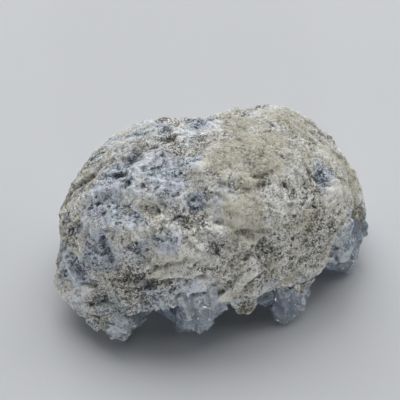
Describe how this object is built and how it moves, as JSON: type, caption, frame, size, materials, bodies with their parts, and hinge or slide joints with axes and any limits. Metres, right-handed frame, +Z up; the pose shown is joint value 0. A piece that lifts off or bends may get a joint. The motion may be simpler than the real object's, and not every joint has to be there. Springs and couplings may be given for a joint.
{
  "type": "celestite druse",
  "caption": "Domed stone nodule half lying rind up, its hollow lined with blue celestite crystals, resting on blocks of crystal at its broken rim.",
  "frame": {"origin": "under the middle of the specimen's box, on the surface that it rests on", "axes": "+Z up through the domed rind, +X along the long way, -Y towards the side whose rim crystals show"},
  "size_m": [0.116, 0.078, 0.0581],
  "materials": {
    "rind_stone": "rough sugary crystalline rind, grey and beige with blue patches",
    "celestite": "glossy, clear to cloudy blue-grey crystal with pale edges"
  },
  "bodies": {
    "root": {"rind": "rind_stone", "crystal_crust": "celestite", "rim_crystals_left": "celestite", "rim_crystals_front": "celestite", "rim_crystals_right": "celestite", "rim_crystals_end": "celestite", "rim_crystals_back_left": "celestite", "rim_crystals_back_right": "celestite"}
  },
  "joints": []
}
